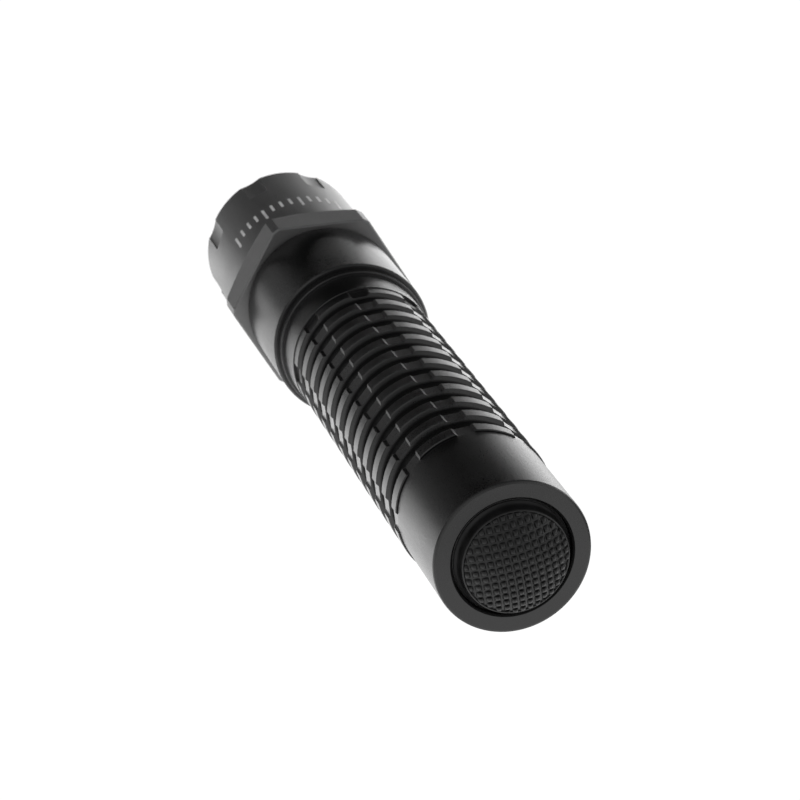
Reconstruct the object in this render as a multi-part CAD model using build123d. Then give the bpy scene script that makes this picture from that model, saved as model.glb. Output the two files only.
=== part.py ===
from build123d import *
import math
import os

# Tactical flashlight, built as separate turned, moulded and board pieces.
# Units are millimetres. +X is the beam axis (tail to lens), +Z is the normal of
# the upper hexagon flat. While modelling, x = 0 is the rear face of the tail cap;
# the pieces are then moved so that the origin is the middle of the smooth tail
# band, on the beam axis. Names ending in _X are places along the beam axis, _R
# radii, _T thicknesses, _THETA angles in degrees from +Y about +X.

ORIGIN_X = 10.3          # middle of the tail band, from the rear face
GAP = 0.02               # clearance between stacked pieces

# Sealing rings and their grooves: centre x, half width of the groove, radius of
# the groove floor, radius of the ring's centreline, radius of its cord.
SEALS = {
    "button_seal": (1.25, 0.55, 8.62, 9.15, 0.49),
    "tail_o_ring": (18.5, 0.75, 10.40, 11.05, 0.64),
    "head_o_ring": (98.0, 0.75, 11.20, 11.85, 0.63),
    "bezel_o_ring": (118.7, 0.65, 12.80, 13.45, 0.60),
}


# ------------------------------------------------------------------- helpers
def turned(points):
    """A solid turned about the beam axis from (x, radius) points."""
    outline = Wire.make_polygon([(x, r, 0) for x, r in points], close=True)
    return revolve(Face(outline), Axis.X, 360)


def ring(x0, x1, r_in, r_out, edge=0.0):
    """A flat ring; edge is the chamfer on its outer corners."""
    if edge:
        return turned([(x0, r_in), (x0, r_out - edge), (x0 + edge, r_out),
                       (x1 - edge, r_out), (x1, r_out - edge), (x1, r_in)])
    return turned([(x0, r_in), (x0, r_out), (x1, r_out), (x1, r_in)])


def disc(x0, x1, r, edge=0.0):
    return ring(x0, x1, 0, r, edge)


def rod(x, y, z, r, length):
    """A cylinder along X, centred on (x, y, z)."""
    return Pos(x, y, z) * Rot(Y=90) * Cylinder(r, length)


def groove(seal, land_r):
    """Profile points of a seal's groove, sunk from the radius land_r."""
    x, half_width, floor_r = SEALS[seal][:3]
    x0, x1 = x - half_width, x + half_width
    return [(x0, land_r), (x0, floor_r), (x1, floor_r), (x1, land_r)]


def seal_ring(seal):
    x, _, _, major_r, cord_r = SEALS[seal]
    return Rot(Y=90) * Pos(0, 0, x) * Torus(major_r, cord_r)


def coil(x0, x1, radius, wire_r, turns):
    """A helical spring filling x0 to x1; radius is that of the wire's centre."""
    length = x1 - x0 - 2 * wire_r
    path = Helix(pitch=length / turns, height=length, radius=radius)
    section = Plane(origin=path @ 0, z_dir=path % 0) * Circle(wire_r)
    body = sweep(section, path=path, is_frenet=True)
    return Pos(x0 + wire_r, 0, 0) * Rot(Y=90) * body


def arc_points(centre_x, radius, start, end, count):
    """Points of an arc centred on the axis, between two angles from +X."""
    angles = [math.radians(start + (end - start) * i / count) for i in range(count + 1)]
    return [(centre_x + radius * math.cos(a), radius * math.sin(a)) for a in angles]


def spread(first, count):
    """Evenly spaced angles of a full turn."""
    return [first + 360 / count * k for k in range(count)]


def cut_around(body, tool, angles):
    """Cut a tool built on the +Y side at each angle about +X."""
    for theta in angles:
        body -= Rot(X=theta) * tool
    return body


# ------------------------------------------------------------------ tail cap
CAP_R = 12.70
CAP_LEN = 20.2
CAP_REAR_EDGE = 0.42
CAP_FRONT_EDGE = 0.15
CAP_BORE_R = 9.70        # round opening for the button
CAP_BORE_EDGE = 0.30
CAP_LIP_T = 3.0          # lip that holds the button in
CAP_CHAMBER_R = 10.70
CAP_SEAT_X = 10.6        # shoulder behind the tail board
CAP_SEAT_R = 11.20
CAP_SEAT_END = 13.4
CAP_THREAD_R = 11.75     # bore for the tube


def tailcap():
    return turned([
        (0, CAP_BORE_R + CAP_BORE_EDGE), (0, CAP_R - CAP_REAR_EDGE),
        (0.12, CAP_R - 0.12), (CAP_REAR_EDGE, CAP_R),
        (CAP_LEN - CAP_FRONT_EDGE, CAP_R), (CAP_LEN, CAP_R - CAP_FRONT_EDGE),
        (CAP_LEN, CAP_THREAD_R), (CAP_SEAT_END, CAP_THREAD_R),
        (CAP_SEAT_END, CAP_SEAT_R), (CAP_SEAT_X, CAP_SEAT_R),
        (CAP_SEAT_X, CAP_CHAMBER_R), (CAP_LIP_T, CAP_CHAMBER_R),
        (CAP_LIP_T, CAP_BORE_R), (CAP_BORE_EDGE, CAP_BORE_R)])


# -------------------------------------------------------------------- button
BTN_R = 9.35             # skirt
BTN_SHOULDER_X = -0.95
BTN_RIM_X = -1.60
BTN_RIM_R = 8.75
BTN_LIP_X = BTN_RIM_X - 0.08
BTN_LIP_R = 8.50
BTN_LIP_HALF_W = 0.06
BTN_FACE_R = 8.30
BTN_FACE_X = -1.62
BTN_CROWN = 2.45         # height of the domed face above its rim
BTN_HOLLOW_R = 7.70
BTN_HOLLOW_X = -0.60
BTN_BOSS_R = (3.4, 2.6)  # collar round the head of the plunger: outer, inner
BTN_BOSS_END = 0.9
BTN_FLANGE_R = 10.50
BTN_FLANGE_X = 3.05
BTN_END = 4.3


def button():
    ball_r = (BTN_FACE_R ** 2 + BTN_CROWN ** 2) / (2 * BTN_CROWN)
    half_angle = math.degrees(math.asin(BTN_FACE_R / ball_r))
    crown = arc_points(BTN_FACE_X - BTN_CROWN + ball_r, ball_r, 180, 180 - half_angle, 14)
    boss_out, boss_in = BTN_BOSS_R
    return turned(crown + [
        (BTN_LIP_X, BTN_LIP_R - BTN_LIP_HALF_W), (BTN_LIP_X, BTN_LIP_R + BTN_LIP_HALF_W),
        (BTN_RIM_X, BTN_RIM_R), (BTN_RIM_X + 0.12, BTN_RIM_R + 0.14),
        (BTN_SHOULDER_X, BTN_R), *groove("button_seal", BTN_R),
        (BTN_FLANGE_X, BTN_R), (BTN_FLANGE_X, BTN_FLANGE_R),
        (BTN_END, BTN_FLANGE_R), (BTN_END, BTN_HOLLOW_R),
        (BTN_HOLLOW_X, BTN_HOLLOW_R), (BTN_HOLLOW_X, boss_out),
        (BTN_BOSS_END, boss_out), (BTN_BOSS_END, boss_in),
        (BTN_HOLLOW_X, boss_in), (BTN_HOLLOW_X, 0)])


def button_return_spring():
    return coil(BTN_HOLLOW_X + 0.05, CAP_SEAT_X, radius=6.6, wire_r=0.35, turns=7)


# --------------------------------------------------------------- tail switch
PLUNGER_X0, PLUNGER_X1 = BTN_HOLLOW_X + 0.03, 7.3
PLUNGER_R = 1.5
PLUNGER_HEAD_R = 2.55
PLUNGER_EDGE = 0.3
SWITCH_X0, SWITCH_X1 = 5.9, CAP_SEAT_X
SWITCH_R = 5.2
SWITCH_EDGE = 0.5
SWITCH_BORE_R = 1.75
SWITCH_BORE_END = 9.4
TAIL_BOARD_X0 = CAP_SEAT_X + 0.05
TAIL_BOARD_X1 = TAIL_BOARD_X0 + 1.0
TAIL_BOARD_R = 11.10
TAIL_RING_X0, TAIL_RING_X1 = 11.72, 13.2
TAIL_RING_R_IN, TAIL_RING_R_OUT = 7.5, 11.15


def switch_plunger():
    return turned([
        (PLUNGER_X0, 0), (PLUNGER_X0, PLUNGER_HEAD_R), (0.7, PLUNGER_HEAD_R),
        (0.9, PLUNGER_R), (PLUNGER_X1 - PLUNGER_EDGE, PLUNGER_R),
        (PLUNGER_X1, PLUNGER_R - PLUNGER_EDGE), (PLUNGER_X1, 0)])


def switch_housing():
    return turned([
        (SWITCH_X0, SWITCH_BORE_R), (SWITCH_X0, SWITCH_R - SWITCH_EDGE),
        (SWITCH_X0 + SWITCH_EDGE, SWITCH_R), (SWITCH_X1, SWITCH_R), (SWITCH_X1, 0),
        (SWITCH_BORE_END, 0), (SWITCH_BORE_END, SWITCH_BORE_R)])


def switch_pcb():
    board = disc(TAIL_BOARD_X0, TAIL_BOARD_X1, TAIL_BOARD_R)
    hole = rod(TAIL_BOARD_X0 + 0.5, 9.0, 0, r=0.45, length=3)
    return cut_around(board, hole, spread(45, 4))


def tail_retaining_ring():
    body = ring(TAIL_RING_X0, TAIL_RING_X1, TAIL_RING_R_IN, TAIL_RING_R_OUT, 0.15)
    return cut_around(body, Pos(TAIL_RING_X1, 8.4, 0) * Box(1.4, 2.6, 1.6), (0, 180))


def tail_spring():
    return coil(TAIL_BOARD_X1 + GAP, CELL_X0 - 0.04, radius=4.3, wire_r=0.45, turns=6)


# ---------------------------------------------------------------------- tube
TUBE_X0, TUBE_X1 = 13.5, 103.6
TUBE_BORE_R = 9.60
TUBE_REAR_EDGE = 0.25
TUBE_THREAD_R = 11.20    # root of the rear thread
TUBE_THREAD_END = 17.1
TUBE_LAND_R = 11.60
SHOULDER_X = 20.3
RIB_COUNT = 12
RIB_PITCH = 5.90
RIB_W = 2.60
RIB_R = 13.00
RIB_EDGE = 0.14
RIB_GAP_R = 12.10        # floor between the ribs
RIB_DRAFT = 17.0         # slope of the rib flanks, degrees
GRIP_END = SHOULDER_X + (RIB_COUNT - 1) * RIB_PITCH + RIB_W
CHANNEL_COUNT = 8
CHANNEL_THETA = 39.76    # first lengthwise channel
CHANNEL_FLOOR = 12.50    # distance of the flat floor from the axis
CHANNEL_W = 2.70         # floor width
CHANNEL_W_TOP = 3.92     # width where the sloping sides meet the rib tops
CHANNEL_CUT_H = 1.2      # height of the cutter, past the rib tops
CHANNEL_OVERCUT = 0.02
FRONT_BAND_R = 13.15
FRONT_BAND_EDGE = 0.08
FRONT_BAND_END = 94.5
COLLAR_R = 13.74
COLLAR_EDGE = 0.15
COLLAR_END = 96.3
HEAD_THREAD_R = 12.40
HEAD_THREAD_EDGE = 0.3


def rib_points():
    """Outline of the ribs; the last one ends square at the front band."""
    flank = (RIB_R - RIB_EDGE - RIB_GAP_R) * math.tan(math.radians(RIB_DRAFT))
    points = []
    for k in range(RIB_COUNT):
        rear = SHOULDER_X + k * RIB_PITCH
        front = rear + RIB_W
        points += [(rear, RIB_R - RIB_EDGE), (rear + RIB_EDGE, RIB_R)]
        if k < RIB_COUNT - 1:
            points += [(front - RIB_EDGE, RIB_R), (front, RIB_R - RIB_EDGE),
                       (front + flank, RIB_GAP_R), (rear + RIB_PITCH - flank, RIB_GAP_R)]
    return points + [(GRIP_END, RIB_R)]


def channel_cutter():
    x = SHOULDER_X - CHANNEL_OVERCUT
    lean = (CHANNEL_W_TOP - CHANNEL_W) / 2 / (RIB_R - CHANNEL_FLOOR)
    half = CHANNEL_W / 2
    half_top = half + CHANNEL_CUT_H * lean
    top = CHANNEL_FLOOR + CHANNEL_CUT_H
    section = Face(Wire.make_polygon([
        (x, CHANNEL_FLOOR, -half), (x, CHANNEL_FLOOR, half),
        (x, top, half_top), (x, top, -half_top)], close=True))
    return extrude(section, amount=GRIP_END - x, dir=(1, 0, 0))


def grip_tube():
    tube = turned([
        (TUBE_X0, TUBE_BORE_R), (TUBE_X0, TUBE_THREAD_R - TUBE_REAR_EDGE),
        (TUBE_X0 + TUBE_REAR_EDGE, TUBE_THREAD_R), (TUBE_THREAD_END, TUBE_THREAD_R),
        (TUBE_THREAD_END, TUBE_LAND_R), *groove("tail_o_ring", TUBE_LAND_R),
        (SHOULDER_X, TUBE_LAND_R), *rib_points(),
        (GRIP_END, FRONT_BAND_R - FRONT_BAND_EDGE),
        (GRIP_END + FRONT_BAND_EDGE, FRONT_BAND_R), (FRONT_BAND_END, FRONT_BAND_R),
        (FRONT_BAND_END, COLLAR_R - COLLAR_EDGE), (FRONT_BAND_END + COLLAR_EDGE, COLLAR_R),
        (COLLAR_END, COLLAR_R), (COLLAR_END, HEAD_THREAD_R),
        *groove("head_o_ring", HEAD_THREAD_R),
        (TUBE_X1 - HEAD_THREAD_EDGE, HEAD_THREAD_R),
        (TUBE_X1, HEAD_THREAD_R - HEAD_THREAD_EDGE), (TUBE_X1, TUBE_BORE_R)])
    return cut_around(tube, channel_cutter(), spread(CHANNEL_THETA, CHANNEL_COUNT))


# ---------------------------------------------------------------------- cell
CELL_R = 9.25
CELL_EDGE = 0.6
CELL_X0 = 24.1
CELL_BODY_END = 91.6
CELL_X1 = 93.1           # end of the contact cap
CELL_CAP_R = 2.9
CELL_CAP_FLANGE_R = 3.1
CELL_CAP_EDGE = 0.3


def battery_cell():
    return turned([
        (CELL_X0, 0), (CELL_X0, CELL_R - CELL_EDGE), (CELL_X0 + CELL_EDGE, CELL_R),
        (CELL_BODY_END - CELL_EDGE, CELL_R), (CELL_BODY_END, CELL_R - CELL_EDGE),
        (CELL_BODY_END, 0)])


def battery_insulator():
    return ring(CELL_BODY_END + GAP, CELL_BODY_END + 0.4, r_in=3.3, r_out=8.4)


def battery_positive_cap():
    x0, flange_end = CELL_BODY_END + GAP, CELL_BODY_END + 0.45
    return turned([
        (x0, 0), (x0, CELL_CAP_FLANGE_R),
        (flange_end, CELL_CAP_FLANGE_R), (flange_end, CELL_CAP_R),
        (CELL_X1 - CELL_CAP_EDGE, CELL_CAP_R), (CELL_X1, CELL_CAP_R - CELL_CAP_EDGE),
        (CELL_X1, 0)])


# ---------------------------------------------------------------------- head
NECK_R = 14.54
NECK_X0 = 96.36
NECK_EDGE = 0.31
HEAD_BORE_R = 12.55
NECK_CAVITY_R = 11.50
PARTITION_X0, PARTITION_X1 = 110.0, 113.4
HEX_X0, HEX_X1 = 117.2, 124.53
HEX_APOTHEM = 15.36
HEX_CORNER_R = 17.35     # turned-off corners
HEX_CORNER_END = 123.2
HEX_EDGE = 0.25
NECK_END = HEX_X0 - 0.03           # neck shoulder, just behind the hexagon
RELIEF_W, RELIEF_R = 0.45, 14.20   # small groove in the neck at the joint
SLEEVE_R = 14.05         # threaded sleeve of the neck, inside the hexagon
SLEEVE_EDGE = 0.3
SLEEVE_END = 123.0
JOINT_BORE_R = 14.11
JOINT_BORE_END = SLEEVE_END + 0.06
BARREL_R = 15.14
BARREL_END = 150.4
BARREL_EDGE = 0.35
FRONT_CAVITY_R = 13.35
FRONT_THREAD_R = 13.90
FRONT_THREAD_X0 = 144.6
FRONT_THREAD_EDGE = 0.3
SCALLOP_COUNT = 8
SCALLOP_THETA = 65.76    # first scallop
SCALLOP_W = 3.8
SCALLOP_LEN = 12         # runs out past the front face
SCALLOP_X0 = 142.5
SCALLOP_DEPTH = 0.50
SCALLOP_FLOOR_R = 9.0    # the floor is slightly dished
SCALLOP_CORNER = 0.9
LEAD_Z = 5.2             # LED leads, above and below the axis
SCREW_Y = 7.8            # LED board screws, either side of the axis


def cut_lead_holes(body, x, r, length):
    for z in (LEAD_Z, -LEAD_Z):
        body -= rod(x, 0, z, r, length)
    return body


def head_housing():
    """Neck with the driver bay, and a threaded sleeve that carries the head bezel."""
    neck = turned([
        (NECK_X0, HEAD_BORE_R), (NECK_X0, NECK_R - NECK_EDGE), (NECK_X0 + NECK_EDGE, NECK_R),
        (NECK_END - RELIEF_W, NECK_R), (NECK_END - RELIEF_W, RELIEF_R),
        (NECK_END, RELIEF_R), (NECK_END, SLEEVE_R), *groove("bezel_o_ring", SLEEVE_R),
        (SLEEVE_END - SLEEVE_EDGE, SLEEVE_R), (SLEEVE_END, SLEEVE_R - SLEEVE_EDGE),
        (SLEEVE_END, NECK_CAVITY_R), (PARTITION_X1, NECK_CAVITY_R), (PARTITION_X1, 0),
        (PARTITION_X0, 0), (PARTITION_X0, HEAD_BORE_R)])
    neck = cut_lead_holes(neck, (PARTITION_X0 + PARTITION_X1) / 2, r=1.3, length=10)
    screw_hole = rod(PARTITION_X1 - 0.9, SCREW_Y, 0, r=0.95, length=2.2)
    return cut_around(neck, screw_hole, (0, 180))


def truncated_hexagon():
    corner_r = HEX_APOTHEM / math.cos(math.radians(30))
    angles = [math.radians(60 * k) for k in range(6)]
    outline = Wire.make_polygon(
        [(HEX_X0, corner_r * math.cos(a), corner_r * math.sin(a)) for a in angles],
        close=True)
    body = extrude(Face(outline), amount=HEX_X1 - HEX_X0, dir=(1, 0, 0))
    body = body & turned([
        (HEX_X0, 0), (HEX_X0, HEX_CORNER_R),
        (HEX_CORNER_END, HEX_CORNER_R), (HEX_X1, BARREL_R), (HEX_X1, 0)])
    rear_edges = body.edges().filter_by_position(Axis.X, HEX_X0 - 0.01, HEX_X0 + 0.01)
    return chamfer(rear_edges, HEX_EDGE)


def scallop_cutter():
    middle = SCALLOP_X0 + SCALLOP_LEN / 2
    plan = Pos(middle, 0, 0) * RectangleRounded(SCALLOP_LEN, SCALLOP_W, SCALLOP_CORNER)
    block = extrude(Plane.XZ * plan, amount=30, both=True)
    return block & rod(middle, BARREL_R - SCALLOP_DEPTH + SCALLOP_FLOOR_R, 0,
                       SCALLOP_FLOOR_R, SCALLOP_LEN + 2)


def head_bezel():
    """Truncated hexagon and straight barrel with a scalloped front."""
    barrel = disc(HEX_X0 + 0.5, BARREL_END, BARREL_R)
    barrel = turned([(HEX_X0 + 0.5, 0), (HEX_X0 + 0.5, BARREL_R),
                     (BARREL_END - BARREL_EDGE, BARREL_R),
                     (BARREL_END, BARREL_R - BARREL_EDGE), (BARREL_END, 0)])
    bezel = barrel + truncated_hexagon()
    mouth_r = FRONT_THREAD_R + FRONT_THREAD_EDGE
    bezel -= turned([
        (HEX_X0 - 1, 0), (HEX_X0 - 1, JOINT_BORE_R), (JOINT_BORE_END, JOINT_BORE_R),
        (JOINT_BORE_END, FRONT_CAVITY_R), (FRONT_THREAD_X0, FRONT_CAVITY_R),
        (FRONT_THREAD_X0, FRONT_THREAD_R), (BARREL_END - FRONT_THREAD_EDGE, FRONT_THREAD_R),
        (BARREL_END, mouth_r), (BARREL_END + 1, mouth_r), (BARREL_END + 1, 0)])
    return cut_around(bezel, scallop_cutter(), spread(SCALLOP_THETA, SCALLOP_COUNT))


# -------------------------------------------------------------------- driver
DRIVER_RING_X0, DRIVER_RING_X1 = 103.75, 105.35
DRIVER_X0, DRIVER_X1 = 105.45, 106.65
# Box components on the driver board: height, y, z, width in y, width in z.
DRIVER_BOXES = [
    (2.0, 0, 0, 4.6, 4.2), (0.9, 6.6, 1.2, 3.2, 3.6),
    (0.8, -6.4, 1.8, 3.0, 1.6), (0.8, -6.4, -1.6, 1.6, 2.6),
]
DRIVER_CAN_H = 1.4       # round component


def driver_retaining_ring():
    body = ring(DRIVER_RING_X0, DRIVER_RING_X1, 8.6, HEAD_BORE_R - 0.08, 0.12)
    return cut_around(body, Pos(DRIVER_RING_X0, 9.6, 0) * Box(1.4, 2.4, 1.6), (90, 270))


def driver_board():
    board = disc(DRIVER_X0, DRIVER_X1, HEAD_BORE_R - 0.15)
    return cut_lead_holes(board, DRIVER_X0 + 0.6, r=0.75, length=3)


def driver_contact_post():
    return turned([(DRIVER_X0 - offset, r) for offset, r in (
        (GAP, 0), (GAP, 2.6), (0.7, 2.6), (0.7, 1.5), (3.2, 1.5), (3.2, 0))])


def driver_contact_spring():
    return coil(CELL_X1 + 0.03, DRIVER_X0 - 0.05, radius=3.3, wire_r=0.32, turns=5)


def driver_components():
    base = DRIVER_X1 + GAP
    items = [Pos(base + h / 2, y, z) * Box(h, w_y, w_z) for h, y, z, w_y, w_z in DRIVER_BOXES]
    items.append(rod(base + DRIVER_CAN_H / 2, 5.8, -4.2, r=1.6, length=DRIVER_CAN_H))
    body = items[0]
    for item in items[1:]:
        body += item
    return body


# ----------------------------------------------------------------------- led
LED_X0, LED_X1 = PARTITION_X1 + GAP, 115.0
LED_BOARD_R = 10.5
EMITTER_T = 0.6
REFLECTOR_X0, REFLECTOR_X1 = 116.8, 144.2


def led_lead(z):
    front = LED_X1 + 0.5
    return rod((DRIVER_X0 + front) / 2, 0, z, r=0.6, length=front - DRIVER_X0)


def led_board():
    board = disc(LED_X0, LED_X1, LED_BOARD_R)
    board = cut_lead_holes(board, LED_X0 + 0.8, r=0.75, length=3)
    return cut_around(board, rod(LED_X0 + 0.8, SCREW_Y, 0, r=1.1, length=3), (0, 180))


def led_board_screws():
    """Two cross-slotted screws."""
    shank_r, head_r = 0.85, 1.7
    screw = turned([
        (LED_X0 - 0.9, 0), (LED_X0 - 0.9, shank_r), (LED_X1 + GAP, shank_r),
        (LED_X1 + GAP, head_r), (LED_X1 + 0.85, head_r), (LED_X1 + 1.0, 1.5),
        (LED_X1 + 1.0, 0)])
    for y_size, z_size in ((0.4, 2.4), (2.4, 0.4)):
        screw -= Pos(LED_X1 + 0.9, 0, 0) * Box(0.7, y_size, z_size)
    screw = Pos(0, SCREW_Y, 0) * screw
    return Rot(X=0) * screw + Rot(X=180) * screw


def led_emitter():
    return Pos(LED_X1 + GAP + EMITTER_T / 2, 0, 0) * Box(EMITTER_T, 3.5, 3.5)


def led_dome():
    x = LED_X1 + EMITTER_T + 2 * GAP
    return turned([(x, 0)] + arc_points(x, 1.35, 90, 0, 10))


def led_centering_ring():
    return ring(LED_X1 + GAP, REFLECTOR_X0 - 0.04, r_in=2.75, r_out=4.35)


# -------------------------------------------------------- reflector and lens
FOCUS_X = 115.6
FOCAL_LEN = 1.30
VERTEX_X = FOCUS_X - FOCAL_LEN
BOWL_STEPS = 36
FLANGE_R = 13.20
FLANGE_T = 1.2
LENS_X0, LENS_X1 = 144.9, 147.3
LENS_R = 13.30
BEZEL_X0, BEZEL_X1 = 147.45, 150.25
BEZEL_R_OUT, BEZEL_R_IN = 13.82, 12.3
BEZEL_EDGE = 0.2


def reflector():
    """Parabolic bowl with an offset outer shell and a front flange."""
    r0, r1 = (math.sqrt(4 * FOCAL_LEN * (x - VERTEX_X)) for x in (REFLECTOR_X0, REFLECTOR_X1))
    radii = [r0 + (r1 - r0) * i / BOWL_STEPS for i in range(BOWL_STEPS + 1)]
    bowl = [(VERTEX_X + r * r / (4 * FOCAL_LEN), r) for r in radii]
    shell = [(x - 0.15, r + 1.0) for x, r in bowl
             if r + 1.0 < FLANGE_R - 0.4 and x - 0.15 > REFLECTOR_X0 + 0.1]
    flange_x = REFLECTOR_X1 - FLANGE_T
    return turned(
        bowl + [(REFLECTOR_X1, FLANGE_R), (flange_x, FLANGE_R), (flange_x, shell[-1][1] + 0.2)]
        + shell[::-1] + [(REFLECTOR_X0, shell[0][1])])


def lens():
    return disc(LENS_X0, LENS_X1, LENS_R, edge=0.2)


def lens_gasket():
    return ring(REFLECTOR_X1 + 0.04, LENS_X0 - 0.04, r_in=12.62, r_out=13.25)


def bezel_ring():
    body = turned([
        (BEZEL_X0, BEZEL_R_IN), (BEZEL_X0, BEZEL_R_OUT), (BEZEL_X1 - BEZEL_EDGE, BEZEL_R_OUT),
        (BEZEL_X1, BEZEL_R_OUT - BEZEL_EDGE), (BEZEL_X1, BEZEL_R_IN + 1.0),
        (BEZEL_X0 + 0.8, BEZEL_R_IN)])
    return cut_around(body, Pos(BEZEL_X1, 13.2, 0) * Box(1.2, 1.6, 1.4), (45, 225))


# -------------------------------------------------------------------- export
# Each of these functions has the name of the piece it builds.
BUILDERS = (
    tailcap, button, button_return_spring, switch_plunger, switch_housing, switch_pcb,
    tail_retaining_ring, tail_spring, grip_tube, battery_cell, battery_insulator,
    battery_positive_cap, head_housing, head_bezel, driver_retaining_ring, driver_board,
    driver_contact_post, driver_contact_spring, driver_components, led_board,
    led_board_screws, led_emitter, led_dome, led_centering_ring, reflector, lens,
    lens_gasket, bezel_ring)

parts = {build.__name__: build() for build in BUILDERS}
parts.update({seal: seal_ring(seal) for seal in SEALS})
parts["led_lead_positive"] = led_lead(LEAD_Z)
parts["led_lead_negative"] = led_lead(-LEAD_Z)

os.makedirs("parts", exist_ok=True)
for name, shape in parts.items():
    placed = Pos(-ORIGIN_X, 0, 0) * shape
    placed.label = name
    export_step(placed, os.path.join("parts", name + ".step"))
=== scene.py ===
"""A small torch with a knobbly tail button, in a tent of soft light over pale paper.

The light lies along +X from tail to lens, its axis on y = z = 0; +Z is up and +Y is
to its left. Its parts are sized in mm from the tail face; the scene is in metres.
"""
import math
from contextlib import contextmanager
from functools import cached_property

import bpy
import bmesh
from mathutils import Matrix, Vector

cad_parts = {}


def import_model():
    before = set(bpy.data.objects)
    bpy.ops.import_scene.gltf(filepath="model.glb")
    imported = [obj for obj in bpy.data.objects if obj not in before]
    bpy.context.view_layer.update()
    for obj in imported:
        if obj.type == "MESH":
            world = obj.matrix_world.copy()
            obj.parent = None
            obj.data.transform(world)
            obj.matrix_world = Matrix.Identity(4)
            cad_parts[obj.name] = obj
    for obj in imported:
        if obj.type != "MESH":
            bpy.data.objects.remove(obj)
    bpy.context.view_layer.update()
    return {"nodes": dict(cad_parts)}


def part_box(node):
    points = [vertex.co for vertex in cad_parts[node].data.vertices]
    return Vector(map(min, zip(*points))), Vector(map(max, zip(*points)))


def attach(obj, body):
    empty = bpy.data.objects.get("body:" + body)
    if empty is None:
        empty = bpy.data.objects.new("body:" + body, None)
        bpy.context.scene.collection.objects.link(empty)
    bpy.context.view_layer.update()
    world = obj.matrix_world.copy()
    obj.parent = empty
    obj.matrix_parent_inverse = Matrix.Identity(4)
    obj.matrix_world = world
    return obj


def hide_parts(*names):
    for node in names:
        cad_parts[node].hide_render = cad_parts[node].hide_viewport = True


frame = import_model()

MM = 0.001
TAIL_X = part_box("tailcap")[0].x            # rear face of the tail cap


def along(x):
    """metres along the axis for a distance in mm from the tail face"""
    return TAIL_X + x * MM


def polar(x, radius, angle):
    """point at x and radius in mm; the angle runs from +Y toward +Z"""
    return along(x), radius * MM * math.cos(angle), radius * MM * math.sin(angle)


# -------------------------------------------------------------- node helpers
class Shader:
    """Node tree of a material or a world."""

    def __init__(self, owner, output="ShaderNodeOutputMaterial"):
        owner.use_nodes = True
        self.tree = owner.node_tree
        self.tree.nodes.clear()
        self.output = self.tree.nodes.new(output)

    def feed(self, socket, value):
        """link or set an input; None leaves it alone, a colour gets alpha 1"""
        if isinstance(value, bpy.types.NodeSocket):
            self.tree.links.new(value, socket)
        elif value is not None:
            socket.default_value = (*value, 1) if socket.type == "RGBA" else value

    def add(self, kind, inputs=None, **properties):
        """add a node, feed its inputs and return its outputs"""
        node = self.tree.nodes.new(kind)
        for key, value in properties.items():
            setattr(node, key, value)
        for key, value in (inputs or {}).items():
            self.feed(node.inputs[key], value)
        return node.outputs

    def surface(self, shader):
        self.feed(self.output.inputs["Surface"], shader)

    @cached_property
    def coords(self):
        return self.add("ShaderNodeTexCoord")["Object"]

    def noise(self, scale, detail=2.0, rough=0.5, stretch=None):
        coords = self.coords
        if stretch:
            coords = self.add("ShaderNodeMapping", {"Scale": stretch, "Vector": coords})[0]
        return self.add("ShaderNodeTexNoise", {
            "Scale": scale, "Detail": detail, "Roughness": rough, "Vector": coords})["Fac"]

    def remap(self, value, source=(0.3, 0.7), to=(0, 1), curve="LINEAR"):
        return self.add("ShaderNodeMapRange", {
            "From Min": source[0], "From Max": source[1],
            "To Min": to[0], "To Max": to[1], "Value": value}, interpolation_type=curve)["Result"]

    def math(self, operation, first, second=None):
        return self.add("ShaderNodeMath", {0: first, 1: second}, operation=operation)[0]

    def mix(self, share, first, second):
        """colour mix; inputs 6 and 7 and output 2 are the colour sockets"""
        return self.add("ShaderNodeMix", {"Factor": share, 6: first, 7: second},
                        data_type="RGBA")[2]

    def mix_shader(self, share, first, second):
        return self.add("ShaderNodeMixShader", {"Fac": share, 1: first, 2: second})[0]

    def bump(self, height, strength, distance, normal=None):
        return self.add("ShaderNodeBump", {
            "Strength": strength, "Distance": distance, "Height": height,
            "Normal": normal})["Normal"]


def new_material(name):
    material = bpy.data.materials.new(name)
    return material, Shader(material)


def scaled(colour, factor):
    return tuple(min(1, channel * factor) for channel in colour)


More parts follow.
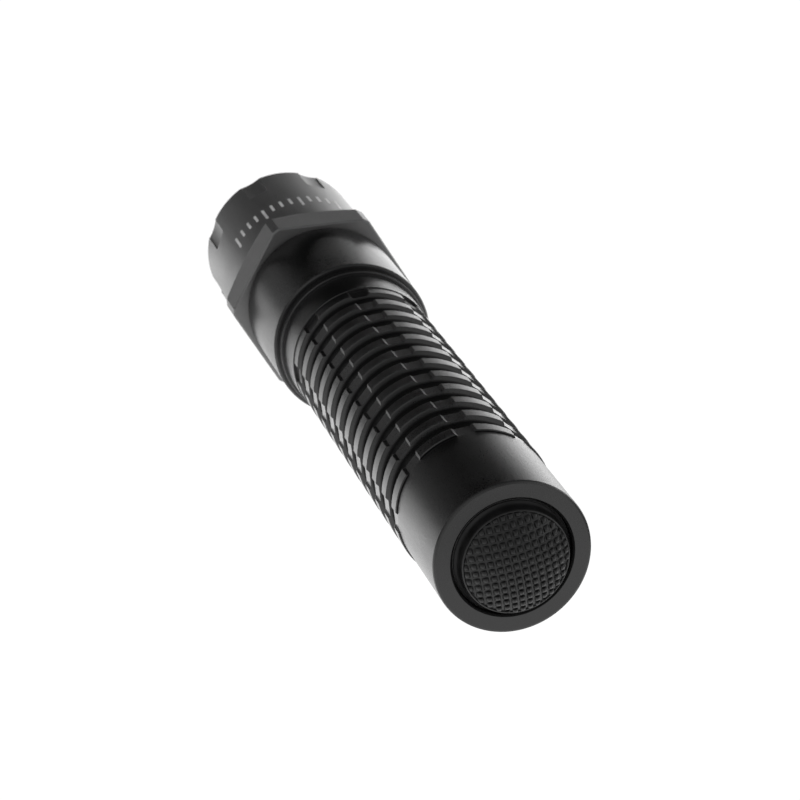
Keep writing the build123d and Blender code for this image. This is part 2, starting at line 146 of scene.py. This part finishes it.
# ------------------------------------------------------------------ finishes
def anodised(name, gloss, rough=0.30, ior=1.47, groove_shade_gloss=None):
    """near-black grainy metal; the groove gloss value paints shade on the floors of the cross
    grooves by dulling them
    """
    material, s = new_material(name)
    fine = s.noise(scale=5200.0, detail=3.0, rough=0.65)
    mid = s.noise(scale=900.0, detail=3.0, rough=0.55)
    broad = s.noise(scale=45.0, detail=3.0)
    tone = s.math("ADD", s.math("MULTIPLY", fine, 0.6), s.math("MULTIPLY", mid, 0.4))
    colour = s.mix(s.remap(tone, source=(0.35, 0.65)),
                   (0.0015, 0.0015, 0.0016), (0.0029, 0.00284, 0.0029))
    roughness = s.math("ADD", s.remap(broad, to=(rough - 0.02, rough + 0.03)),
                       s.remap(fine, to=(-0.05, 0.05)))
    edges = s.add("ShaderNodeBevel", {"Radius": 0.00010}, samples=4)["Normal"]
    normal = s.bump(fine, strength=0.34, distance=0.00003, normal=edges)
    normal = s.bump(mid, strength=0.05, distance=0.00005, normal=normal)
    metal = s.add("ShaderNodeBsdfPrincipled", {
        "Base Color": colour, "Roughness": roughness, "IOR": ior, "Normal": normal})["BSDF"]
    # the open pores of the finish swallow part of the light that would glance off it; on the
    # groove floors the extra dulling is painted shade
    pores = s.add("ShaderNodeBsdfDiffuse", {"Color": (0.002, 0.002, 0.002)})["BSDF"]
    pore_and_shade_share = 1 - gloss
    # painted shade: the groove floors, which the ribs shade, get a duller, darker mix than the
    # rib tops
    if groove_shade_gloss is not None:
        _, y, z = s.add("ShaderNodeSeparateXYZ", {0: s.coords})
        radius = s.math("SQRT", s.math("ADD", s.math("MULTIPLY", y, y),
                                       s.math("MULTIPLY", z, z)))
        pore_and_shade_share = s.remap(radius, source=(0.01215, 0.01245),     # groove floor to rib top
                             to=(1 - groove_shade_gloss, 1 - gloss), curve="SMOOTHSTEP")
    s.surface(s.mix_shader(pore_and_shade_share, metal, pores))
    return material


def moulded(name, colour, rough=0.45, grain=0.2, scale=3000.0, coat=0.0, spread=0.25, spec=0.5):
    """plastic or rubber; spread is how far the colour drifts either way"""
    material, s = new_material(name)
    fine = s.noise(scale=scale, detail=3.0, rough=0.6)
    broad = s.noise(scale=scale / 12)
    s.surface(s.add("ShaderNodeBsdfPrincipled", {
        "Base Color": s.mix(s.remap(broad), scaled(colour, 1 - spread),
                            scaled(colour, 1 + spread)),
        "Roughness": s.remap(broad, to=(rough - 0.06, rough + 0.06)),
        "Normal": s.bump(fine, strength=grain, distance=0.00003),
        "Specular IOR Level": spec, "Coat Weight": coat, "Coat Roughness": 0.08})["BSDF"])
    return material


def bare_metal(name, colour, rough, scale, stretch=None, grain=0.2):
    material, s = new_material(name)
    fine = s.noise(scale=scale, detail=3.0, rough=0.6, stretch=stretch)
    broad = s.noise(scale=220.0)
    s.surface(s.add("ShaderNodeBsdfPrincipled", {
        "Base Color": s.mix(s.remap(broad), scaled(colour, 0.86), scaled(colour, 1.08)),
        "Metallic": 1.0,
        "Roughness": s.remap(fine, to=(rough * 0.75, rough * 1.3)),
        "Normal": s.bump(fine, strength=grain, distance=0.00002)})["BSDF"])
    return material


def circuit_board(name, mask, copper, scale):
    """solder mask over copper tracks"""
    material, s = new_material(name)
    cells = s.add("ShaderNodeTexVoronoi", {"Scale": scale, "Vector": s.coords},
                  distance="CHEBYCHEV")
    track = s.remap(cells["Distance"], source=(0.30, 0.34))
    colour = s.mix(track, mask, copper)
    stain = s.remap(s.noise(scale=300.0), to=(0, 0.25))
    s.surface(s.add("ShaderNodeBsdfPrincipled", {
        "Base Color": s.mix(stain, colour, scaled(mask, 0.6)),
        "Roughness": 0.3, "Coat Weight": 0.5,
        "Normal": s.bump(track, strength=0.4, distance=0.00004)})["BSDF"])
    return material


def clear(name, tint, rough, ior):
    material, s = new_material(name)
    glass = s.add("ShaderNodeBsdfPrincipled", {
        "Base Color": s.mix(s.noise(scale=60.0, detail=1.0), scaled(tint, 0.985), tint),
        "Transmission Weight": 1.0, "Roughness": rough, "IOR": ior})["BSDF"]
    # shadow and diffuse rays pass straight through
    ray = s.add("ShaderNodeLightPath")
    passing = s.add("ShaderNodeBsdfTransparent", {"Color": (0.93, 0.95, 0.96)})["BSDF"]
    straight = s.math("MAXIMUM", ray["Is Shadow Ray"], ray["Is Diffuse Ray"])
    s.surface(s.mix_shader(straight, glass, passing))
    return material


DRAWN = (1, 6, 6)       # x, y, z noise scale: streaks along the axis
TURNED = (9, 1, 1)      # fine rings across the axis

MATERIALS = {
    "anodised": anodised("anodised_black", gloss=0.84),
    # its groove floors carry painted shade
    "anodised_grip": anodised("anodised_grip", gloss=0.95, groove_shade_gloss=0.40),
    # the bezel is blasted coarser than the turned neck, tube and cap
    "anodised_bezel": anodised("anodised_bezel", gloss=1.0, rough=0.43, ior=2.05),
    "button": moulded("button_moulded_black", colour=(0.0035, 0.0035, 0.0036), rough=0.36,
                      grain=0.22, scale=5200.0, spec=0.26),
    "seal": moulded("seal_rubber", colour=(0.012, 0.012, 0.012), rough=0.5, scale=2600.0),
    "spring": bare_metal("spring_wire", colour=(0.62, 0.62, 0.63), rough=0.22,
                         scale=2000.0, stretch=DRAWN),
    "gold": bare_metal("gold_flashed_wire", colour=(0.86, 0.62, 0.26), rough=0.2,
                       scale=2000.0, stretch=DRAWN),
    "brass": bare_metal("turned_brass", colour=(0.80, 0.60, 0.30), rough=0.26,
                        scale=2400.0, stretch=TURNED),
    "steel": bare_metal("nickel_plate", colour=(0.72, 0.72, 0.71), rough=0.24,
                        scale=2200.0, stretch=TURNED),
    "white": moulded("white_moulding", colour=(0.80, 0.80, 0.77), spread=0.04),
    "black": moulded("black_moulding", colour=(0.03, 0.03, 0.032), grain=0.3),
    "board": circuit_board("green_board", mask=(0.008, 0.075, 0.03),
                           copper=(0.02, 0.14, 0.055), scale=420.0),
    "ledboard": circuit_board("white_board", mask=(0.80, 0.80, 0.78),
                              copper=(0.86, 0.86, 0.83), scale=500.0),
    "sleeve": moulded("cell_sleeve", colour=(0.03, 0.12, 0.30), rough=0.22, grain=0.05,
                      scale=900.0, coat=0.6, spread=0.08),
    "fibre": moulded("fibre_washer", colour=(0.72, 0.70, 0.60), rough=0.7, grain=0.4,
                     scale=5000.0, spread=0.1),
    "red": moulded("red_sleeve", colour=(0.42, 0.012, 0.01), rough=0.4, grain=0.1, spread=0.08),
    "phosphor": moulded("led_phosphor", colour=(0.86, 0.70, 0.10), rough=0.55, grain=0.4,
                        scale=9000.0, spread=0.08),
    "silicone": clear("led_silicone", tint=(0.99, 0.97, 0.90), rough=0.03, ior=1.42),
    "mirror": bare_metal("vapour_plated_bowl", colour=(0.93, 0.93, 0.94), rough=0.035,
                         scale=400.0, grain=0.02),
    "glass": clear("front_glass", tint=(0.97, 0.985, 1.0), rough=0.0, ior=1.5),
    "mark": moulded("etched_mark", colour=(0.46, 0.46, 0.46), rough=0.55, grain=0.5,
                    scale=6000.0, spread=0.15),
}

CAD_FINISH = {
    "tailcap": "anodised", "grip_tube": "anodised_grip", "head_housing": "anodised",
    "head_bezel": "anodised_bezel", "bezel_o_ring": "seal",
    "bezel_ring": "anodised_bezel", "button": "button", "button_seal": "seal",
    "button_return_spring": "spring", "switch_plunger": "white", "switch_housing": "black",
    "switch_pcb": "board", "tail_retaining_ring": "brass", "tail_spring": "gold",
    "tail_o_ring": "seal", "head_o_ring": "seal", "battery_cell": "sleeve",
    "battery_insulator": "fibre", "battery_positive_cap": "steel",
    "driver_retaining_ring": "brass", "driver_board": "board", "driver_contact_post": "brass",
    "driver_contact_spring": "gold", "driver_components": "black",
    "led_lead_positive": "red", "led_lead_negative": "black", "led_board": "ledboard",
    "led_board_screws": "steel", "led_emitter": "phosphor", "led_dome": "silicone",
    "led_centering_ring": "white", "reflector": "mirror", "lens": "glass",
    "lens_gasket": "seal",
}


def finish_cad_pieces():
    for name, piece in frame["nodes"].items():
        material = MATERIALS[CAD_FINISH[name]]
        if not piece.data.materials:
            piece.data.materials.append(material)
        for slot in piece.material_slots:
            slot.material = material


finish_cad_pieces()


# -------------------------------------------------------------- mesh helpers
def link_object(name, data):
    item = bpy.data.objects.new(name, data)
    bpy.context.scene.collection.objects.link(item)
    return item


def set_smooth(mesh):
    for face in mesh.polygons:
        face.use_smooth = True


def make_object(name, verts, faces, material, body, slot, smooth=True):
    mesh = bpy.data.meshes.new(name)
    mesh.from_pydata(verts, [], faces)
    mesh.validate()
    mesh.update()
    piece = link_object(name, mesh)
    mesh.materials.append(MATERIALS[material])
    if smooth:
        set_smooth(mesh)
    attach(piece, body)
    return piece


@contextmanager
def edited(mesh):
    bm = bmesh.new()
    bm.from_mesh(mesh)
    yield bm
    bm.to_mesh(mesh)
    bm.free()
    mesh.update()


def fix_normals(piece, sharp_degrees=None):
    """turn the faces outward and mark edges steeper than the angle as sharp"""
    with edited(piece.data) as bm:
        bmesh.ops.remove_doubles(bm, verts=bm.verts, dist=1e-8)
        bmesh.ops.recalc_face_normals(bm, faces=bm.faces)
        if sharp_degrees is not None:
            limit = math.radians(sharp_degrees)
            for edge in bm.edges:
                edge.smooth = not (len(edge.link_faces) == 2
                                   and edge.calc_face_angle(0) > limit)


def quads(rows, columns, wrap_rows=False, wrap_columns=False):
    """faces of a grid of points stored row by row"""
    faces = []
    for row in range(rows if wrap_rows else rows - 1):
        here, there = row * columns, (row + 1) % rows * columns
        for column in range(columns if wrap_columns else columns - 1):
            beside = (column + 1) % columns
            faces.append((here + column, here + beside, there + beside, there + column))
    return faces


def lathe(profile, segments):
    """closed solid turned about the axis; profile is a closed (x, r) loop in mm, r > 0"""
    verts = [polar(x, radius, 2 * math.pi * step / segments)
             for step in range(segments) for x, radius in profile]
    return verts, quads(segments, len(profile), wrap_rows=True, wrap_columns=True)


# -------------------------------------------------- the domed, knobbly button
FACE_R = 8.30           # radius of the domed face
RIM_X = -1.62           # edge of the face
CROWN = 2.45            # height of the dome over its edge
BALL_R = (FACE_R ** 2 + CROWN ** 2) / (2 * CROWN)
KNOB_PITCH = 1.23
KNOB_TURN = math.radians(11.0)
KNOB_H = 0.46
KNOB_REACH = 0.40       # knob centre to foot, in pitches
PAD_SINK = 0.06         # pad surface below the dome
PAD_BACK_X = RIM_X + 0.5

# thin lip round the face: (x from RIM_X, r)
BUTTON_LIP = [(0.35, 8.0), (0.02, 8.29), (-0.06, 8.34), (-0.09, 8.41), (-0.08, 8.49),
              (-0.02, 8.56), (0.08, 8.61), (0.24, 8.65)]
# shoulder, skirt and hollow inside: (x, r)
BUTTON_SKIRT = [
    (-1.00, 8.71), (-0.55, 8.79), (-0.15, 8.88), (0.10, 9.02), (0.30, 9.22), (0.42, 9.35),
    (0.70, 9.35), (0.70, 8.62), (1.80, 8.62), (1.80, 9.35), (3.05, 9.35), (3.05, 10.5),
    (4.3, 10.5), (4.3, 7.7), (-0.6, 7.7), (-0.6, 3.4), (0.9, 3.4), (0.9, 2.6),
    (-0.6, 2.6), (-0.62, 0.4), (-1.0, 0.4), (-1.05, 7.9)]
# grid lines across one knob, in pitches from its centre
KNOB_LINES = [-0.5, -0.44, -0.40, -0.37, -0.33, -0.28, -0.20, -0.10, 0.0, 0.10, 0.20, 0.28,
              0.33, 0.37, 0.40, 0.44]


def dome_x(radius):
    return RIM_X - (math.sqrt(BALL_R ** 2 - radius * radius)
                    - math.sqrt(BALL_R ** 2 - FACE_R ** 2))


def button_body():
    profile = [(RIM_X + x, radius) for x, radius in BUTTON_LIP] + BUTTON_SKIRT
    body = make_object("button_body", *lathe(profile, 192), "button", "tail_button",
                       "button_rubber")
    fix_normals(body, sharp_degrees=35)
    return body


def knob_height(line):
    """share of the full knob height on a grid line"""
    offset = abs((line / KNOB_PITCH) % 1.0 - 0.5)
    return max(0.0, 1 - (offset / KNOB_REACH) ** 3.0)


def pad_block():
    """a square block with the knobbly dome on its tail side"""
    lines = sorted((knob + 0.5 + part) * KNOB_PITCH
                   for knob in range(-8, 8) for part in KNOB_LINES)
    stations = [(line, knob_height(line)) for line in lines]
    cos_turn, sin_turn = math.cos(KNOB_TURN), math.sin(KNOB_TURN)
    verts = []
    for across, across_height in stations:
        for rise, rise_height in stations:
            radius = min(math.hypot(across, rise), FACE_R + 1.2)
            x = dome_x(radius) + PAD_SINK - KNOB_H * across_height * rise_height
            right = across * cos_turn - rise * sin_turn
            up = across * sin_turn + rise * cos_turn
            verts.append((along(x), -right * MM, up * MM))
    count = len(lines)
    last = count - 1
    faces = quads(count, count)
    # walls from the edge of the grid to the flat back
    edge = [j for j in range(count)]
    edge += [i * count + last for i in range(1, count)]
    edge += [last * count + j for j in range(count - 2, -1, -1)]
    edge += [i * count for i in range(count - 2, 0, -1)]
    base, length = len(verts), len(edge)
    verts += [(along(PAD_BACK_X), *verts[index][1:]) for index in edge]
    for k in range(length):
        after = (k + 1) % length
        faces.append((edge[k], edge[after], base + after, base + k))
    faces.append(tuple(range(base, base + length)))
    mesh = bpy.data.meshes.new("pad")
    mesh.from_pydata(verts, [], faces)
    with edited(mesh) as bm:
        bmesh.ops.recalc_face_normals(bm, faces=bm.faces)
    return link_object("button_pad", mesh)


def pad_cutter():
    """a cylinder of the face's radius on the axis"""
    mesh = bpy.data.meshes.new("cutter")
    with edited(mesh) as bm:
        bmesh.ops.create_cone(bm, cap_ends=True, segments=192, radius1=FACE_R * MM,
                              radius2=FACE_R * MM, depth=0.02,
                              matrix=Matrix.Translation((along(-2), 0, 0))
                              @ Matrix.Rotation(math.pi / 2, 4, "Y"))
    return link_object("cutter", mesh)


def button_pad():
    """a crowned disc with a square grid of small knobs"""
    pad = pad_block()
    cutter = pad_cutter()
    trim = pad.modifiers.new("trim", "BOOLEAN")
    trim.operation = "INTERSECT"
    trim.solver = "EXACT"
    trim.object = cutter
    bpy.context.view_layer.update()
    depsgraph = bpy.context.evaluated_depsgraph_get()
    trimmed = bpy.data.meshes.new_from_object(pad.evaluated_get(depsgraph))
    pad.modifiers.clear()
    pad.data = trimmed
    bpy.data.objects.remove(cutter)
    trimmed.materials.clear()       # any empty slot left by the trim
    trimmed.materials.append(MATERIALS["button"])
    set_smooth(trimmed)
    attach(pad, "tail_button")
    fix_normals(pad, sharp_degrees=60)


button = button_body()
button_pad()
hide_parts("button")


# -------------------------------------------------------------- screw thread
THREAD_X = (14.3, 16.7)
THREAD_PITCH = 1.0
THREAD_ROOT_R, THREAD_CREST_R = 11.2, 11.6
THREAD_SEGMENTS = 120   # per turn


def tube_thread():
    """a ridge wound round the tail end of the tube, fading out over a quarter turn"""
    start, end = THREAD_X
    turns = (end - start) / THREAD_PITCH
    steps = int(turns * THREAD_SEGMENTS)
    fade_steps = THREAD_SEGMENTS * 0.25
    foot, flat = THREAD_PITCH * 0.40, THREAD_PITCH * 0.10      # half widths
    foot_r = THREAD_ROOT_R - 0.05
    verts = []
    for k in range(steps + 1):
        angle = 2 * math.pi * k / THREAD_SEGMENTS
        x = start + THREAD_PITCH * k / THREAD_SEGMENTS
        fade = min(1.0, k / fade_steps, (steps - k) / fade_steps)
        top_r = THREAD_ROOT_R + (THREAD_CREST_R - THREAD_ROOT_R) * fade + 0.02
        for shift, radius in ((-foot, foot_r), (-flat, top_r), (flat, top_r), (foot, foot_r)):
            verts.append(polar(x + shift, radius, angle))
    faces = quads(steps + 1, 4, wrap_columns=True)
    end_base = steps * 4
    faces += [(0, 1, 2, 3), (end_base + 3, end_base + 2, end_base + 1, end_base)]
    ridge = make_object("tube_tail_thread", verts, faces, "anodised", "light_body", "anodised")
    fix_normals(ridge, sharp_degrees=30)


tube_thread()


# ------------------------------------------------- etched scale on the head
MARK_R = 15.14 + 0.012              # just proud of the head
MARK_DEPTH = 0.05
MARK_HALF_WIDTH = 0.27
MARK_COUNT = 13
MARK_START, MARK_STEP = 33.0, 7.0   # degrees from +Y toward +Z
MARK_END_X = 134.6
LONG_MARK_X, SHORT_MARK_X = 129.8, 131.5


def index_marks():
    """curved bars, every fourth one long"""
    verts, faces = [], []
    half = MARK_HALF_WIDTH / MARK_R
    for mark in range(MARK_COUNT):
        middle = math.radians(MARK_START + MARK_STEP * mark)
        start_x = SHORT_MARK_X if mark % 4 else LONG_MARK_X
        outer = len(verts)
        inner = outer + 8
        verts += [polar(x, radius, middle - half + 2 * half * i / 3)
                  for radius in (MARK_R, MARK_R - MARK_DEPTH)
                  for i in range(4) for x in (start_x, MARK_END_X)]
        for i in range(0, 6, 2):
            a, b = outer + i, inner + i
            faces += [(a, a + 1, a + 3, a + 2), (b, b + 2, b + 3, b + 1)]
        for i in range(0, 6, 2):
            a, b = outer + i, inner + i
            faces += [(a, a + 2, b + 2, b), (a + 1, b + 1, b + 3, a + 3)]
        faces += [(outer, inner, inner + 1, outer + 1),
                  (outer + 6, outer + 7, inner + 7, inner + 6)]
    marks = make_object("head_index_marks", verts, faces, "mark", "light_body", "anodised",
                        smooth=False)
    fix_normals(marks)


index_marks()


# -------------------------------------------------------------------- optics
FOCAL_LENGTH = 1.30
BOWL_VERTEX_X = 115.6 - FOCAL_LENGTH        # the focus is at 115.6
BOWL_X = (116.8, 144.2)                     # small end, mouth
BOWL_STEPS = 80
BOWL_RIM = [(144.2, 13.2), (143.0, 13.2), (143.0, 12.95)]       # (x, r)
BACK_SHIFT, WALL = 0.15, 1.0                # back of the bowl: toward the tail, outward
BACK_MIN_X, BACK_MAX_R = 116.9, 12.8        # the back keeps inside these
# flat disc with a rounded edge: (x, r)
LENS_PROFILE = [(144.9, 0.02), (144.9, 13.05), (144.95, 13.2), (145.1, 13.3),
                (147.1, 13.3), (147.25, 13.2), (147.3, 13.05), (147.3, 0.02)]


def reflector():
    """a parabolic bowl opening toward the lens"""
    small_r, mouth_r = (math.sqrt(4 * FOCAL_LENGTH * (x - BOWL_VERTEX_X)) for x in BOWL_X)
    bowl = []
    for i in range(BOWL_STEPS + 1):
        radius = small_r + (mouth_r - small_r) * i / BOWL_STEPS
        bowl.append((BOWL_VERTEX_X + radius * radius / (4 * FOCAL_LENGTH), radius))
    back = [(x - BACK_SHIFT, radius + WALL) for x, radius in bowl
            if radius + WALL < BACK_MAX_R and x - BACK_SHIFT > BACK_MIN_X]
    profile = bowl + BOWL_RIM + back[::-2] + [(BOWL_X[0], back[0][1])]
    shell = make_object("reflector_bowl", *lathe(profile, 256), "mirror", "light_body",
                        "mirror_metal")
    fix_normals(shell, sharp_degrees=30)
    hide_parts("reflector")


def front_lens():
    lens = make_object("front_lens", *lathe(LENS_PROFILE, 192), "glass", "light_body",
                       "lens_glass")
    # close the pinhole on the axis
    with edited(lens.data) as bm:
        bmesh.ops.remove_doubles(bm, verts=bm.verts, dist=2.2e-5)
        bmesh.ops.dissolve_degenerate(bm, edges=bm.edges, dist=1e-7)
    fix_normals(lens, sharp_degrees=20)
    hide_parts("lens")


reflector()
front_lens()


# --------------------------------------------------------------------- stage
TENT_R, TENT_X = 2.4, 0.05      # metres
TENT_STEP = 4.0                 # degrees round the tent
TENT_SOFT = 1.5                 # degrees each side of an edge between rows
# Radiance of the light tent: rows from the floor up, each row once round the
# light in equal steps, starting straight behind the tail and going past its left.
TENT_RISE = [0, 10, 22, 38, 60, 89.9]       # degrees, edges of the rows
TENT = [
    (0.97, 0.83, 0.78, 0.67, 0.45, 0.35, 0.57, 0.17, 0.69, 3.00, 3.00, 2.79, 2.19, 1.96, 2.10,
     2.48, 1.92, 0.81),
    (1.18, 1.01, 0.91, 0.74, 0.57, 0.49, 0.74, 0.00, 0.00, 0.00, 0.51, 1.69, 1.61, 1.57, 1.69,
     1.86, 1.47, 0.45),
    (1.02, 1.10, 1.10, 0.93, 0.81, 0.72, 0.74, 0.13, 0.00, 0.02, 0.01, 0.78, 0.94, 1.10, 1.30,
     1.21, 0.71, 0.44),
    (1.03, 1.03, 0.79, 0.21, 0.00, 0.33, 0.56, 1.03, 0.63),
    (0.41,),
]
FLOOR_Z = -0.0128               # metres, under the tail face
FLOOR_SLOPE = 2.66 / 117.2      # fall toward the head
FLOOR_SOFT = 0.004              # metres each side of an edge between cells
# Radiance of the lit paper under the light: rows from behind the tail to ahead
# of the lens, each from the right side to the left. Edges in metres.
FLOOR_X = [-2.4, TAIL_X - 0.12, TAIL_X - 0.03, TAIL_X + 0.04, TAIL_X + 0.11, TAIL_X + 0.18, 2.5]
FLOOR_Y = [-2.4, -0.12, -0.04, -0.012, 0.012, 0.04, 0.12, 2.4]
FLOOR_LIGHT = [
    (0.34, 0.38, 1.03, 1.17, 1.23, 1.29, 1.31),
    (0.66, 0.64, 1.68, 1.29, 1.33, 1.35, 1.44),
    (0.97, 0.72, 1.86, 1.80, 2.01, 1.67, 1.54),
    (1.68, 1.73, 1.29, 1.63, 2.30, 1.41, 1.32),
    (2.51, 3.00, 2.20, 1.96, 1.64, 1.52, 1.13),
    (3.00, 3.00, 2.48, 2.22, 2.29, 1.36, 0.65),
]


def light_material(name, paper):
    """soft light read from the mesh; the lens sees plain white paper where asked"""
    material, s = new_material(name)
    mottle = s.noise(scale=3.0)
    strength = s.add("ShaderNodeAttribute", attribute_name="glow")["Fac"]
    light = s.add("ShaderNodeEmission", {
        "Color": s.mix(mottle, (0.985, 0.985, 0.985), (1, 1, 1)), "Strength": strength})[0]
    if paper:
        sheet = s.add("ShaderNodeEmission", {
            "Color": s.mix(mottle, (0.995, 0.995, 0.995), (1, 1, 1)), "Strength": 1.05})[0]
        seen = s.add("ShaderNodeLightPath")["Is Camera Ray"]
        light = s.mix_shader(seen, light, sheet)
    s.surface(light)
    return material


def glow_mesh(name, verts, faces, values, material):
    mesh = bpy.data.meshes.new(name)
    mesh.from_pydata(verts, [], faces)
    mesh.attributes.new("glow", "FLOAT", "POINT").data.foreach_set("value", values)
    mesh.materials.append(material)
    item = link_object(name, mesh)
    return item


def stops(edges, soft):
    """grid lines with the cell each one belongs to, close to both sides of an edge"""
    lines = [(edges[0], 0)]
    for k in range(1, len(edges) - 1):
        lines += [(edges[k] - soft, k - 1), (edges[k] + soft, k)]
    return lines + [(edges[-1], len(edges) - 2)]


def floor():
    rows, columns = stops(FLOOR_X, FLOOR_SOFT), stops(FLOOR_Y, FLOOR_SOFT)
    verts = [(x, y, FLOOR_Z - FLOOR_SLOPE * (x - TAIL_X)) for x, _ in rows for y, _ in columns]
    values = [FLOOR_LIGHT[i][j] for _, i in rows for _, j in columns]
    faces = [(a, d, c, b) for a, b, c, d in quads(len(rows), len(columns))]     # facing up
    glow_mesh("floor", verts, faces, values, light_material("pale_floor", paper=True))


def tent_glow(cells, turn):
    """radiance at a turn in degrees; an edge between two cells takes the mean of both"""
    place = turn / (360 / len(cells))
    k = int(math.floor(place + 1e-6))
    value = cells[k % len(cells)]
    if abs(place - k) < 1e-6:
        value = (value + cells[(k - 1) % len(cells)]) / 2
    return value


def tent():
    """a dome of soft light over the floor; the lens does not see it"""
    rows = stops(TENT_RISE, TENT_SOFT)
    count = int(360 / TENT_STEP)
    verts, values = [], []
    for rise, row in rows:
        height = math.radians(rise)
        for k in range(count):
            turn = math.radians(-180 + k * TENT_STEP)
            verts.append((TENT_X + TENT_R * math.cos(turn) * math.cos(height),
                          -TENT_R * math.sin(turn) * math.cos(height),
                          TENT_R * math.sin(height)))
            values.append(tent_glow(TENT[row], k * TENT_STEP))
    faces = quads(len(rows), count, wrap_columns=True)
    faces.append(tuple(range(len(verts) - count, len(verts))))
    dome = glow_mesh("soft_light_tent", verts, faces, values,
                     light_material("tent_cloth", paper=False))
    dome.visible_camera = False


def world():
    """nothing but white paper for the lens beyond the tent"""
    studio = bpy.data.worlds.new("studio")
    bpy.context.scene.world = studio
    s = Shader(studio, "ShaderNodeOutputWorld")
    seen = s.add("ShaderNodeLightPath")["Is Camera Ray"]
    s.surface(s.add("ShaderNodeBackground", {"Color": (1, 1, 1), "Strength": seen})[0])


floor()
tent()
world()


# -------------------------------------------------------------------- camera
def camera():
    """behind the tail, above it and to its left"""
    data = bpy.data.cameras.new("camera")
    data.sensor_fit = "HORIZONTAL"
    data.sensor_width = 36.0
    data.lens = 137.242
    data.clip_start = 0.01
    data.clip_end = 50
    data.dof.use_dof = True
    data.dof.focus_distance = 0.468         # on the tail face
    data.dof.aperture_fstop = 105.0
    item = link_object("camera", data)
    right = Vector((-0.26755, -0.963162, -0.027125))
    up = Vector((0.361581, -0.126455, 0.923725))
    back = Vector((-0.893127, 0.237335, 0.382094))
    place = Matrix.Translation((TAIL_X - 0.402234, 0.124, 0.200459))
    item.matrix_world = place @ Matrix((right, up, back)).transposed().to_4x4()
    bpy.context.scene.camera = item


camera()
bpy.context.scene.view_settings.view_transform = "Standard"
bpy.context.scene.view_settings.look = "None"
